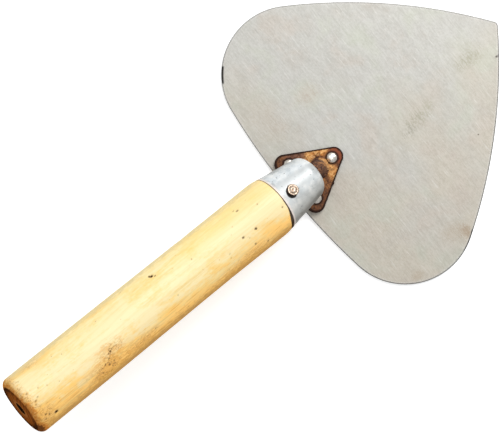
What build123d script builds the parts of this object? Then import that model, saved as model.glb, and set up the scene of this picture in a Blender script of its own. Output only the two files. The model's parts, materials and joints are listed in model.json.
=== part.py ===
"""A mason's trowel with a peach-shaped blade: flat sheet steel blade, three-cornered tang plate held by
three rivets, round tang welded to the plate and bent into a turned wooden handle, and a thimble ferrule
pinned through handle and tang by one cross rivet.

Millimetres. The origin is on the underside of the blade, below the middle of the tang plate.
+X runs along the tool towards the blade's tip, +Z is up, and Y = 0 is the plane of symmetry.
"""

import os
from math import cos, radians, sin, sqrt, tan

from build123d import *

# ---- blade
BLADE_WIDTH = 165.0
BLADE_LENGTH = 138.7  # heel to the point where the two side arcs cross
BLADE_THICKNESS = 1.5
HEEL_X = -16.1
HEEL_RADIUS = 370.0  # shallow arc across the back edge
LOBE_RADIUS = 35.6  # the two round shoulders
SIDE_RADIUS = 280.0  # long arcs that run to the tip
TIP_RADIUS = 2.5
BLADE_EDGE_ROUND = 0.3

# ---- tang plate and its rivets
RIVET_CIRCLE_RADIUS = 12.9
RIVET_CENTRE_X = -0.7
RIVET_COUNT = 3
PLATE_CENTRE_X = -1.6  # the plate reaches a little further back than the rivets do
PLATE_TRIANGLE_RADIUS = 15.0  # centres of its three round corners
PLATE_THICKNESS = 3.0
PLATE_CORNER_RADIUS = 4.9
PLATE_EDGE_ROUND = 0.6
RIVET_SHANK_RADIUS = 1.6
RIVET_HEAD_RADIUS = 2.7
RIVET_HEAD_RIM = 0.5
RIVET_HEAD_DOME = 1.0
RIVET_TAIL_RADIUS = 2.5
PLATE_TOP_Z = BLADE_THICKNESS + PLATE_THICKNESS

# ---- handle axis: it starts at the centre of the ferrule's nose and climbs backwards
HANDLE_PITCH = 19.0  # degrees above the blade
NOSE_X = -0.6
NOSE_Z = 18.6

# ---- ferrule; every "along" figure is a distance back from its nose
FERRULE_LENGTH = 27.0
FERRULE_REAR_RADIUS = 14.95
FERRULE_HALF_ANGLE = 8.8
FERRULE_NOSE_ROUND = 5.8
FERRULE_WALL = 0.8
SPIGOT_CLEARANCE = 0.05

# ---- tang
TANG_RADIUS = 4.0
TANG_END_RADIUS = 3.0
TANG_BEND_RADIUS = 6.5
TANG_TAPER_START = 30.0  # along
TANG_END = 118.0  # along
TANG_END_CHAMFER = 0.8
WELD_LEG = 1.6
WELD_TOE = 0.3

# ---- handle
GRIP_LENGTH = 164.5  # behind the ferrule
SHOULDER_GAP = 0.4  # the dark line between the ferrule's rim and the wood
SHOULDER_RADIUS = 15.0
GRIP_START = 33.0  # along, where the eased shoulder ends
GRIP_FRONT_RADIUS = 15.7
WAIST_ALONG = 75.0
WAIST_RADIUS = 15.55
BUTT_RADIUS = 15.8
BUTT_ROUND = 3.6
SPIGOT_START = 5.6  # along, clear of the ferrule's rounded nose
SPIGOT_CHAMFER = 1.2
BORE_RADIUS = 3.0
TANG_TIP_GAP = 0.5

# ---- cross rivet through ferrule, handle and tang
PIN_ALONG = 20.0
PIN_RADIUS = 1.5
PIN_HEAD_RADIUS = 3.1
PIN_HEAD_RIM = 1.3
PIN_HEAD_DOME = 0.7
PIN_TAIL_RADIUS = 2.5
PIN_TAIL_RIM = 0.5
PIN_TAIL_DOME = 0.7

# ---- worked out from the above
pitch = radians(HANDLE_PITCH)
nose_centre = Vector(NOSE_X, 0, NOSE_Z)
backwards = Vector(-cos(pitch), 0, sin(pitch))
ferrule_slope = tan(radians(FERRULE_HALF_ANGLE))
grip_end = FERRULE_LENGTH + GRIP_LENGTH

# Local X is the distance back from the nose and local Y is the radius, upwards.
handle_plane = Plane(origin=nose_centre, x_dir=backwards, z_dir=(0, 1, 0))
handle_axis = Axis(nose_centre, backwards)
pin_centre = handle_plane.from_local_coords((PIN_ALONG, 0, 0))


def ferrule_radius(along):
    """Outer radius of the ferrule's cone at a distance back from its nose."""
    return FERRULE_REAR_RADIUS - (FERRULE_LENGTH - along) * ferrule_slope


def spigot_radius(along):
    """Radius of the handle's front spigot, just inside the ferrule's wall."""
    wall = FERRULE_WALL / cos(radians(FERRULE_HALF_ANGLE))
    return ferrule_radius(along) - wall - SPIGOT_CLEARANCE


def toward(start, end, distance):
    """The point at a distance from end, on the line from start carried on past end."""
    return end + (end - start).normalized() * distance


# ---------------------------------------------------------------- blade
# Each half outline is three arcs that run into each other: heel, lobe and side.
lobe_y = BLADE_WIDTH / 2 - LOBE_RADIUS
lobe_x = HEEL_X + HEEL_RADIUS - sqrt((HEEL_RADIUS - LOBE_RADIUS) ** 2 - lobe_y**2)
lobe_centre = Vector(lobe_x, lobe_y)
heel_centre = Vector(HEEL_X + HEEL_RADIUS, 0)
tip = Vector(HEEL_X + BLADE_LENGTH, 0)
tip_to_lobe = lobe_centre - tip
side_reach = SIDE_RADIUS - LOBE_RADIUS
foot = (SIDE_RADIUS**2 - side_reach**2 + tip_to_lobe.length**2) / (2 * tip_to_lobe.length)
unit = tip_to_lobe.normalized()
side_centre = tip + unit * foot + Vector(-unit.Y, unit.X) * sqrt(SIDE_RADIUS**2 - foot**2)

with BuildPart() as blade:
    with BuildSketch():
        with BuildLine():
            heel_arc = TangentArc(
                (HEEL_X, 0), toward(heel_centre, lobe_centre, LOBE_RADIUS), tangent=(0, 1)
            )
            lobe_arc = TangentArc(
                heel_arc @ 1, toward(side_centre, lobe_centre, LOBE_RADIUS), tangent=heel_arc % 1
            )
            TangentArc(lobe_arc @ 1, tip, tangent=lobe_arc % 1)
            mirror(about=Plane.XZ)
        make_face()
        fillet(vertices().sort_by(Axis.X)[-1], radius=TIP_RADIUS)
    extrude(amount=BLADE_THICKNESS)
    fillet(faces().filter_by(Axis.Z).edges(), radius=BLADE_EDGE_ROUND)
    with Locations(Plane((RIVET_CENTRE_X, 0, 0), x_dir=(1, 0, 0), z_dir=(0, 0, -1))):
        with PolarLocations(RIVET_CIRCLE_RADIUS, RIVET_COUNT):
            CounterSinkHole(RIVET_SHANK_RADIUS, RIVET_TAIL_RADIUS, counter_sink_angle=90)

# ---------------------------------------------------------------- tang plate
with BuildPart() as tang_plate:
    with BuildSketch(Plane.XY.offset(BLADE_THICKNESS)):
        with Locations((PLATE_CENTRE_X, 0)):
            RegularPolygon(PLATE_TRIANGLE_RADIUS, RIVET_COUNT)
        offset(amount=PLATE_CORNER_RADIUS)
        with Locations((RIVET_CENTRE_X, 0)):
            with PolarLocations(RIVET_CIRCLE_RADIUS, RIVET_COUNT):
                Circle(RIVET_SHANK_RADIUS, mode=Mode.SUBTRACT)
    extrude(amount=PLATE_THICKNESS)
    top_face = faces().sort_by(Axis.Z)[-1]
    fillet(top_face.outer_wire().edges(), radius=PLATE_EDGE_ROUND)


# ---------------------------------------------------------------- blade rivets
def blade_rivet(x, y):
    """A round-head rivet set from above, its tail beaten flush into the blade's countersink."""
    plane = Plane((x, y, 0), x_dir=(1, 0, 0), z_dir=(0, -1, 0))
    sink_depth = RIVET_TAIL_RADIUS - RIVET_SHANK_RADIUS
    rim_z = PLATE_TOP_Z + RIVET_HEAD_RIM
    with BuildPart() as rivet:
        with BuildSketch(plane):
            with BuildLine():
                Polyline(
                    (0, rim_z + RIVET_HEAD_DOME),
                    (0, 0),
                    (RIVET_TAIL_RADIUS, 0),
                    (RIVET_SHANK_RADIUS, sink_depth),
                    (RIVET_SHANK_RADIUS, PLATE_TOP_Z),
                    (RIVET_HEAD_RADIUS, PLATE_TOP_Z),
                    (RIVET_HEAD_RADIUS, rim_z),
                )
                TangentArc(
                    (0, rim_z + RIVET_HEAD_DOME), (RIVET_HEAD_RADIUS, rim_z), tangent=(1, 0)
                )
            make_face()
        revolve(axis=Axis((x, y, 0), (0, 0, 1)))
    return rivet


rivet_angles = {"front": 0.0, "left": 120.0, "right": 240.0}
blade_rivets = {
    side: blade_rivet(
        RIVET_CENTRE_X + RIVET_CIRCLE_RADIUS * cos(radians(angle)),
        RIVET_CIRCLE_RADIUS * sin(radians(angle)),
    )
    for side, angle in rivet_angles.items()
}

# ---------------------------------------------------------------- tang
# From its foot on the plate the tang stands upright, then bends back onto the handle's axis.
bend_start = nose_centre + Vector(
    TANG_BEND_RADIUS * (1 - sin(pitch)), 0, -TANG_BEND_RADIUS * cos(pitch)
)
foot_centre = Vector(bend_start.X, 0, PLATE_TOP_Z)

with BuildPart() as tang:
    with BuildLine() as tang_path:
        upright = Line(foot_centre, bend_start)
        TangentArc(bend_start, nose_centre, tangent=upright % 1)
    with BuildSketch(Plane(foot_centre, z_dir=(0, 0, 1))):
        Circle(TANG_RADIUS)
    sweep(path=tang_path.wires()[0])
    with BuildSketch(handle_plane):
        with BuildLine():
            Polyline(
                (0, 0),
                (0, TANG_RADIUS),
                (TANG_TAPER_START, TANG_RADIUS),
                (TANG_END, TANG_END_RADIUS),
                (TANG_END, 0),
                close=True,
            )
        make_face()
    revolve(axis=handle_axis)
    chamfer(faces().sort_by(handle_axis)[-1].edges(), length=TANG_END_CHAMFER)
    with BuildSketch(Plane(pin_centre, z_dir=handle_plane.y_dir)):
        Circle(PIN_RADIUS)
    extrude(amount=TANG_RADIUS, both=True, mode=Mode.SUBTRACT)

# ---------------------------------------------------------------- weld round the tang's foot
with BuildPart() as tang_weld:
    with BuildSketch(Plane(foot_centre, x_dir=(1, 0, 0), z_dir=(0, -1, 0))):
        with BuildLine():
            Polyline(
                (TANG_RADIUS, WELD_LEG),
                (TANG_RADIUS, 0),
                (TANG_RADIUS + WELD_LEG, 0),
                (TANG_RADIUS + WELD_LEG, WELD_TOE),
            )
            TangentArc(
                (TANG_RADIUS + WELD_LEG, WELD_TOE), (TANG_RADIUS, WELD_LEG), tangent=(-0.2, 1)
            )
        make_face()
    revolve(axis=Axis(foot_centre, (0, 0, 1)))

# ---------------------------------------------------------------- ferrule
with BuildPart() as ferrule:
    with BuildSketch(handle_plane):
        with BuildLine():
            Polyline(
                (0, 0),
                (0, ferrule_radius(0)),
                (FERRULE_LENGTH, FERRULE_REAR_RADIUS),
                (FERRULE_LENGTH, 0),
                close=True,
            )
        make_face()
    revolve(axis=handle_axis)
    fillet(faces().sort_by(handle_axis)[0].edges(), radius=FERRULE_NOSE_ROUND)
    offset(amount=-FERRULE_WALL, openings=faces().sort_by(handle_axis)[-1])
    with BuildSketch(Plane(nose_centre, z_dir=backwards)):
        Circle(TANG_RADIUS)
    extrude(amount=2 * FERRULE_WALL, mode=Mode.SUBTRACT)
    with BuildSketch(Plane(pin_centre, z_dir=handle_plane.y_dir)):
        Circle(PIN_RADIUS)
    extrude(amount=FERRULE_REAR_RADIUS, both=True, mode=Mode.SUBTRACT)

# ---------------------------------------------------------------- handle
# One closed half section: spigot, eased shoulder, waisted grip, rounded butt, then the bore back forwards.
shoulder = FERRULE_LENGTH + SHOULDER_GAP
chamfer_end = SPIGOT_START + SPIGOT_CHAMFER

with BuildPart() as handle:
    with BuildSketch(handle_plane):
        with BuildLine():
            Polyline(
                (SPIGOT_START, TANG_RADIUS),
                (SPIGOT_START, spigot_radius(SPIGOT_START) - SPIGOT_CHAMFER),
                (chamfer_end, spigot_radius(chamfer_end)),
                (shoulder, spigot_radius(shoulder)),
                (shoulder, SHOULDER_RADIUS),
            )
            TangentArc(
                (GRIP_START, GRIP_FRONT_RADIUS), (shoulder, SHOULDER_RADIUS), tangent=(-1, 0)
            )
            Spline(
                (GRIP_START, GRIP_FRONT_RADIUS),
                (WAIST_ALONG, WAIST_RADIUS),
                (grip_end - BUTT_ROUND, BUTT_RADIUS),
                tangents=((1, 0), (1, 0)),
            )
            TangentArc(
                (grip_end - BUTT_ROUND, BUTT_RADIUS),
                (grip_end, BUTT_RADIUS - BUTT_ROUND),
                tangent=(1, 0),
            )
            Polyline(
                (grip_end, BUTT_RADIUS - BUTT_ROUND),
                (grip_end, BORE_RADIUS),
                (TANG_END + TANG_TIP_GAP, BORE_RADIUS),
                (TANG_END, TANG_END_RADIUS),
                (TANG_TAPER_START, TANG_RADIUS),
                (SPIGOT_START, TANG_RADIUS),
            )
        make_face()
    revolve(axis=handle_axis)
    with BuildSketch(Plane(pin_centre, z_dir=handle_plane.y_dir)):
        Circle(PIN_RADIUS)
    extrude(amount=GRIP_FRONT_RADIUS, both=True, mode=Mode.SUBTRACT)

# ---------------------------------------------------------------- cross rivet
# Each head starts a little inside the ferrule and is then trimmed to sit on the ferrule's cone.
seat = ferrule_radius(PIN_ALONG)
seat_fall = PIN_HEAD_RADIUS * ferrule_slope
pin_heads = (
    (1, PIN_HEAD_RADIUS, PIN_HEAD_RIM, PIN_HEAD_DOME),
    (-1, PIN_TAIL_RADIUS, PIN_TAIL_RIM, PIN_TAIL_DOME),
)

with BuildPart() as ferrule_rivet:
    with BuildSketch(handle_plane):
        for side, radius, rim, dome in pin_heads:
            base = (PIN_ALONG, side * (seat - 2 * seat_fall))
            crown = (PIN_ALONG, side * (seat + rim + dome))
            shoulder = (PIN_ALONG + radius, side * (seat + rim))
            with BuildLine():
                Polyline(crown, base, (PIN_ALONG + radius, base[1]), shoulder)
                TangentArc(crown, shoulder, tangent=(1, 0))
            make_face()
    revolve(axis=Axis(pin_centre, handle_plane.y_dir))
    with BuildSketch(handle_plane):
        with BuildLine():
            Polyline(
                (0, 0),
                (0, ferrule_radius(0)),
                (FERRULE_LENGTH, FERRULE_REAR_RADIUS),
                (FERRULE_LENGTH, 0),
                close=True,
            )
        make_face()
    revolve(axis=handle_axis, mode=Mode.SUBTRACT)
    with BuildSketch(Plane(pin_centre, z_dir=handle_plane.y_dir)):
        Circle(PIN_RADIUS)
    extrude(amount=seat + seat_fall, both=True)

# ---------------------------------------------------------------- write the pieces
pieces = {
    "blade": blade,
    "tang_plate": tang_plate,
    "tang": tang,
    "tang_weld": tang_weld,
    "ferrule": ferrule,
    "ferrule_rivet": ferrule_rivet,
    "handle": handle,
}
pieces.update({f"blade_rivet_{side}": rivet for side, rivet in blade_rivets.items()})

os.makedirs("parts", exist_ok=True)
for name, piece in pieces.items():
    piece.part.label = name
    export_step(piece.part, f"parts/{name}.step")
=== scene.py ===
"""Looks of a mason's trowel: worn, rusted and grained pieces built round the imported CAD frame."""

import json
import math
from types import SimpleNamespace

import bmesh
import bpy
import numpy as np
from mathutils import Matrix, Vector
from mathutils.kdtree import KDTree


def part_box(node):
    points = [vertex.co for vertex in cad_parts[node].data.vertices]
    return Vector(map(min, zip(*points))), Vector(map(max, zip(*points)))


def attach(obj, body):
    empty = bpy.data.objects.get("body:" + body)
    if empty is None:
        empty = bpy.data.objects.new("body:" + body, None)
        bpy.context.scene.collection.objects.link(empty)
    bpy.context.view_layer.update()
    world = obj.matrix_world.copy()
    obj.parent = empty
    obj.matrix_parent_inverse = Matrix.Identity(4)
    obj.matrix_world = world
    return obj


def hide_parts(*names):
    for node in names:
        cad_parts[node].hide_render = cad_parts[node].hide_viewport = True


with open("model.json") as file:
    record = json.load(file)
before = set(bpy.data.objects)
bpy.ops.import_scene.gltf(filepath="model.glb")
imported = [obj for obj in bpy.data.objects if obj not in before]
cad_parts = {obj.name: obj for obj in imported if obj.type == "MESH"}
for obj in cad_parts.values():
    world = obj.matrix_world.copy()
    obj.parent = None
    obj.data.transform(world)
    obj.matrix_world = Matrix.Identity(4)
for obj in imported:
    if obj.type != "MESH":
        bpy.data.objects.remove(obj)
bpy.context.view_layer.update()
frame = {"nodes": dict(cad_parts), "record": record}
nodes = frame["nodes"]

# ---------------- sizes and places
# Sizes are in millimetres and the frame is in metres.
MM = 0.001
GRIP_END = 191.5  # how far the butt is behind the ferrule's nose
bore = next(m for m in frame["record"]["mounts"] if m["name"] == "hanging_bore")
BACK = Vector(bore["axis"]).normalized()  # along the handle, from ferrule to butt
LEFT = Vector((0, 1, 0))
RISE = LEFT.cross(BACK)  # square to the handle, upwards
NOSE = Vector(bore["pos_m"]) + BACK * (bore["dims"]["length_mm"] / 2 - GRIP_END) * MM
HANDLE_FRAME = Matrix((BACK, LEFT, RISE)).transposed().to_4x4()
HANDLE_FRAME.translation = NOSE
UPRIGHT = Matrix(((0, 1, 0), (0, 0, 1), (1, 0, 0))).to_4x4()  # stands a turned piece on end

LOBE_CENTRE = (22.8, 46.9, 0.75)  # the middle of the left lobe, whose radius is 35.6
BLADE_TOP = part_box("blade")[1].z / MM
PLATE_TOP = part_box("tang_plate")[1].z / MM
TANG_RADIUS = 4.0
TANG_TIP = 3.0  # the radius it tapers to
TANG_TAPER = 88.0  # how long the taper is
TANG_END = 118.0  # how far behind the ferrule's nose the tang ends
TANG_BEND = 6.5
FERRULE_LENGTH = 27.0
FERRULE_REAR = 14.95  # its radius at the rear rim
FERRULE_WALL = 0.8
FERRULE_ROUND = 5.8  # the rounding of its nose
FERRULE_HOLE = 4.12  # the radius of the hole in it
FLANK = math.radians(8.8)  # how much it widens towards the rear
CONE = math.tan(FLANK)
PIN = 20.0  # how far behind the nose the cross rivet goes through
PIN_SEAT = FERRULE_REAR - (FERRULE_LENGTH - PIN) * CONE  # the ferrule's radius there
PIN_SHANK = 1.5
SPIGOT_START = 5.6
SHOULDER = 27.4  # where the spigot ends and the grip begins
GRIP_START = 33.0
GRIP_RADIUS = 15.8  # at the butt
BUTT_ROUND = 3.6
HANGING_HOLE = 3.0
TANG_HOLE = 4.05
ROLL = math.radians(39.16)  # how far the photograph is turned about the line of sight
UP = Vector((math.sin(ROLL), math.cos(ROLL), 0))


# ---------------- shape helpers
def lattice_noise(points, size, seed, stretched=(1, 1, 1)):
    """A smooth random value from -1 to 1 at each point; size is how far apart its blobs are."""
    lattice = 48  # how many blobs before the noise repeats
    table = np.random.default_rng(seed).uniform(-1, 1, (lattice, lattice, lattice))
    q = points / (size * np.array(stretched))
    cell = np.floor(q).astype(int)
    f = q - cell
    f = f * f * (3 - 2 * f)
    noise = np.zeros(q.shape[:-1])
    for corner in np.ndindex(2, 2, 2):
        weight = np.prod(np.where(corner, f, 1 - f), axis=-1)
        i = (cell + corner) % lattice
        noise += weight * table[i[..., 0], i[..., 1], i[..., 2]]
    return noise


def fractal(points, size, seed, octaves=4, stretched=(1, 1, 1)):
    """Layers of lattice noise, each half as large and half as strong as the one before."""
    return sum(lattice_noise(points, size / 2**k, seed + k, stretched) / 2**k for k in range(octaves))


def smoothstep(low, high, value):
    t = np.clip((value - low) / (high - low), 0, 1)
    return t * t * (3 - 2 * t)


def turned(profile, segments, closed=True):
    """Points and outward normals of a profile of (along, radius) turned about the first axis."""
    profile = np.array(profile, float)
    if closed:
        slope = np.roll(profile, -1, 0) - np.roll(profile, 1, 0)
    else:
        slope = np.gradient(profile, axis=0)
    slope /= np.maximum(np.linalg.norm(slope, axis=1, keepdims=True), 1e-9)
    turn = np.linspace(0, 2 * math.pi, segments, endpoint=False)
    ring = np.stack([np.cos(turn), np.sin(turn)], 1)
    along = np.broadcast_to(profile[:, None, :1], (len(profile), segments, 1))
    points = np.concatenate([along, profile[:, None, 1:] * ring], 2)
    normal_along = np.broadcast_to(-slope[:, None, 1:], (len(profile), segments, 1))
    normals = np.concatenate([normal_along, slope[:, None, :1] * ring], 2)
    return points, normals


def off_axis(grid):
    """How far each point lies from the axis its piece was turned about."""
    return np.hypot(grid[..., 1], grid[..., 2])


def spoke(radius, degrees):
    """A point round the axis, as (left, up); degrees are counted from the left, over the top."""
    return radius * math.cos(math.radians(degrees)), radius * math.sin(math.radians(degrees))


def arc(centre, radius, start, end, count):
    """Points on a circular arc in (along, radius); angles in degrees."""
    angles = np.radians(np.linspace(start, end, count))
    return [(centre[0] + radius * math.cos(a), centre[1] + radius * math.sin(a)) for a in angles]


def line(start, end, step):
    """Evenly spaced points from start up to, not including, end."""
    count = max(1, round(math.dist(start, end) / step))
    return [tuple(np.array(start) + (np.array(end) - start) * k / count) for k in range(count)]


def new_object(name, data):
    made = bpy.data.objects.new(name, data)
    bpy.context.scene.collection.objects.link(made)
    return made


def paint(mesh, label, mask):
    """Stores a mask, one number for each point, for the material to read."""
    mesh.attributes.new(label, "FLOAT", "POINT").data.foreach_set("value", mask.ravel())


def skin(name, grid, placing, closed, masks=None):
    """A mesh over a grid of rings; placing takes it into the frame; masks are painted on its points."""
    rings, segments = grid.shape[:2]
    index = np.arange(rings * segments).reshape(rings, segments)
    nxt = np.roll(index, -1, 0) if closed else index[1:]
    here = index if closed else index[:-1]
    quads = np.stack([here, np.roll(here, -1, 1), np.roll(nxt, -1, 1), nxt], -1).reshape(-1, 4)
    faces = quads.tolist()
    if not closed:
        faces += [index[0].tolist(), index[-1][::-1].tolist()]
    mesh = bpy.data.meshes.new(name)
    mesh.from_pydata((grid.reshape(-1, 3) * MM).tolist(), [], faces)
    for label, mask in (masks or {}).items():
        paint(mesh, label, mask)
    spot = mesh.attributes.new("local", "FLOAT_VECTOR", "POINT")
    spot.data.foreach_set("vector", grid.ravel())
    mesh.transform(placing)
    return finish_mesh(name, mesh)


def finish_mesh(name, mesh, sharp=50):
    """An object of a mesh whose faces all look outwards; edges over so many degrees stay sharp."""
    shell = bmesh.new()
    shell.from_mesh(mesh)
    bmesh.ops.recalc_face_normals(shell, faces=shell.faces)
    shell.to_mesh(mesh)
    shell.free()
    mesh.shade_smooth()
    mesh.set_sharp_from_angle(angle=math.radians(sharp))
    return new_object(name, mesh)


def coat(piece, material):
    piece.data.materials.clear()
    piece.data.materials.append(material)


def place(piece, node, material):
    """Makes a piece stand for a CAD node."""
    coat(piece, material)
    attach(piece, "root")
    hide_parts(node)


def remeshed(node, voxel):
    """An evenly meshed copy of a CAD node, to be roughened."""
    mesh = nodes[node].data.copy()
    shell = bmesh.new()
    shell.from_mesh(mesh)
    bmesh.ops.remove_doubles(shell, verts=shell.verts, dist=1e-6)
    shell.to_mesh(mesh)
    shell.free()
    source = new_object("remesh_source", mesh)
    remesh = source.modifiers.new("even", "REMESH")
    remesh.mode = "VOXEL"
    remesh.voxel_size = voxel * MM
    graph = bpy.context.evaluated_depsgraph_get()
    result = bpy.data.meshes.new_from_object(source.evaluated_get(graph), depsgraph=graph)
    bpy.data.objects.remove(source)
    return result


def mesh_arrays(mesh):
    """A mesh's points, in millimetres, and their normals."""
    points = np.empty(len(mesh.vertices) * 3, np.float32)
    normals = np.empty(len(mesh.vertices) * 3, np.float32)
    mesh.vertices.foreach_get("co", points)
    mesh.vertices.foreach_get("normal", normals)
    return points.reshape(-1, 3).astype(float) / MM, normals.reshape(-1, 3).astype(float)


# ---------------- material helpers
def new_material(name):
    material = bpy.data.materials.new(name)
    material.use_nodes = True
    tree = material.node_tree
    return material, tree, tree.nodes["Principled BSDF"]


def feed(node, inputs):
    """Sets inputs, each by its name or number, to a value or to the output that feeds it."""
    for key, value in inputs.items():
        if isinstance(value, bpy.types.NodeSocket):
            node.id_data.links.new(value, node.inputs[key])
        else:
            node.inputs[key].default_value = value


def add(kind, inputs, tree=None, **settings):
    """A shader node, in the tree it is given or else in the one its inputs come from."""
    if tree is None:
        tree = next(value.id_data for value in inputs.values() if isinstance(value, bpy.types.NodeSocket))
    made = tree.nodes.new(kind)
    for key, value in settings.items():
        setattr(made, key, value)
    feed(made, inputs)
    return made


def maths(operation, *terms):
    return add("ShaderNodeMath", dict(enumerate(terms)), operation=operation).outputs[0]


def total(first, *others):
    for other in others:
        first = maths("ADD", first, other)
    return first


def product(first, *others):
    for other in others:
        first = maths("MULTIPLY", first, other)
    return first


def vector_maths(operation, *terms):
    """A vector, or a number where the operation is a length, a distance or a dot product."""
    made = add("ShaderNodeVectorMath", dict(enumerate(terms)), operation=operation)
    number = operation in ("LENGTH", "DISTANCE", "DOT_PRODUCT")
    return made.outputs["Value" if number else "Vector"]


def stretch(vector, amounts):
    return vector_maths("MULTIPLY", vector, amounts)


def split(vector):
    return add("ShaderNodeSeparateXYZ", {0: vector}).outputs[:]


def apart(vector, centre, reach):
    """How far a point is from a centre, as a share of the reach along each axis; None ignores an axis."""
    offset = vector_maths("SUBTRACT", vector, centre)
    return vector_maths("LENGTH", stretch(offset, [1 / r if r else 0 for r in reach]))


def millimetres(tree):
    return stretch(add("ShaderNodeTexCoord", {}, tree).outputs["Object"], (1 / MM, 1 / MM, 1 / MM))


def attribute(tree, name):
    return add("ShaderNodeAttribute", {}, tree, attribute_name=name).outputs["Fac"]


def local_place(tree):
    return add("ShaderNodeAttribute", {}, tree, attribute_name="local").outputs["Vector"]


def cloud(vector, scale, detail=4.0, roughness=0.55, distortion=0.0):
    """Noise from 0 to 1; scale is its blobs per millimetre, one number or one for each axis."""
    if isinstance(scale, tuple):
        vector, scale = stretch(vector, scale), 1.0
    settings = {"Detail": detail, "Roughness": roughness, "Distortion": distortion}
    return add("ShaderNodeTexNoise", {"Vector": vector, "Scale": scale, **settings}).outputs["Fac"]


def cells(vector, scale):
    return add("ShaderNodeTexVoronoi", {"Vector": vector, "Scale": scale}).outputs


def band(value, low, high, to_low=0.0, to_high=1.0):
    """Maps low..high smoothly onto to_low..to_high."""
    onto = {"Value": value, "From Min": low, "From Max": high, "To Min": to_low, "To Max": to_high}
    return add("ShaderNodeMapRange", onto, interpolation_type="SMOOTHSTEP").outputs["Result"]


def swing(noise, size, low=0.3):
    """Noise turned into a push of up to size either way; low is where it bottoms out."""
    return band(noise, low, 1 - low, -size, size)


def blend(factor, below, above, how="MIX"):
    """Lays one colour over another; each is (red, green, blue) or the output that makes it."""
    below, above = ((*c, 1.0) if isinstance(c, tuple) else c for c in (below, above))
    colours = {0: factor, 6: below, 7: above}
    return add("ShaderNodeMix", colours, data_type="RGBA", blend_type=how).outputs[2]


def level(normal):
    """How level a surface lies: 1 when flat, 0 when upright."""
    return maths("ABSOLUTE", vector_maths("DOT_PRODUCT", normal, (0, 0, 1)))


def set_looks(shader, colour, roughness, relief, depth, strength, metallic=0.0, specular=0.5):
    """Feeds a shader its colour, roughness, shine and bump; depth is the bump's height in millimetres."""
    bump = {"Height": relief, "Distance": depth * MM, "Strength": strength}
    looks = {"Base Color": colour, "Roughness": roughness, "Metallic": metallic}
    looks["Specular IOR Level"] = specular
    looks["Normal"] = add("ShaderNodeBump", bump).outputs["Normal"]
    feed(shader, looks)


# ---------------- sheet steel
# Stains and scuffs: (x, y, reach in x, reach in y, colour, strength, how much the brush lines break it up)
BLADE_MARKS = [
    (60, -12, 9, 4.5, (0.27, 0.265, 0.20), 0.8, 0.85),
    (52, -14.5, 5, 3, (0.22, 0.215, 0.18), 0.7, 0.9),
    (67, -10, 5, 3, (0.33, 0.32, 0.24), 0.5, 0.8),
    (99, -5, 9, 4.5, (0.27, 0.265, 0.20), 0.8, 0.8),
    (58, -12, 26, 16, (0.42, 0.40, 0.33), 0.3, 0.2),
    (98, -6, 18, 14, (0.43, 0.41, 0.33), 0.3, 0.2),
    (23, 33, 8, 6, (0.38, 0.29, 0.23), 0.4, 0.4),
    (-2, 36, 10, 12, (0.42, 0.33, 0.27), 0.25, 0.4),
    (60, 42, 8, 14, (0.40, 0.42, 0.34), 0.3, 0.6),
    (42, -73.5, 3.8, 5.2, (0.29, 0.205, 0.13), 0.7, 0.3),
    (36, -69, 8, 6, (0.37, 0.30, 0.225), 0.4, 0.3),
    (8, -75, 4, 3, (0.36, 0.29, 0.215), 0.45, 0.3),
    (111.5, -13.2, 1.6, 0.8, (0.05, 0.035, 0.03), 0.95, 0.0),
    (-14, 20, 3, 22, (0.36, 0.33, 0.28), 0.35, 0.5),
    (-6, 34, 14, 30, (0.38, 0.36, 0.30), 0.35, 0.3),
    (-6, -34, 14, 30, (0.38, 0.355, 0.30), 0.25, 0.3),
]
# Dark licks on the lobes' rims: (side, centre, reach, distance from the lobe's middle where each begins)
RIM_LICKS = [(1, (-4.7, 69.0), 4.6, 34.0), (-1, (39.9, -77.2), 6.0, 34.6)]
# A painted highlight, a pale line just inside the edge, and painted shade, a near-black line at the edge:
# (reach, colour, strength)
EDGE_HIGHLIGHT_AND_SHADE = [(2.4, (0.68, 0.67, 0.64), 0.6), (1.5, (0.045, 0.042, 0.038), 0.97)]


def blot(mm, centre, reach, ragged, edge):
    """A ragged round blot: 1 inside, 0 beyond; centre and reach in millimetres across the tool."""
    away = apart(mm, (*centre, 0), (*reach, None))
    return band(total(away, ragged), 1 + edge, 1 - edge)


def brushed_streaks(mm):
    """Brush lines across the tool at every scale, with dust and blotches over them."""
    hair = cloud(mm, (2.2, 0.22, 0.22), 4.0, 0.75)
    lines = cloud(mm, (1.1, 0.07, 0.07), 4.0, 0.65)
    broad = cloud(mm, (0.3, 0.035, 0.035), 3.0, 0.6)
    dust = cloud(mm, (1.3, 0.9, 0.9), 3.0, 0.85)
    blotch = cloud(mm, (0.22, 0.13, 0.13), 3.0, 0.6, 0.5)
    return total(
        swing(hair, 0.5, 0.25),
        swing(lines, 0.13),
        swing(broad, 0.10, 0.35),
        swing(dust, 0.45),
        swing(blotch, 0.14, 0.35),
    )


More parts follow.
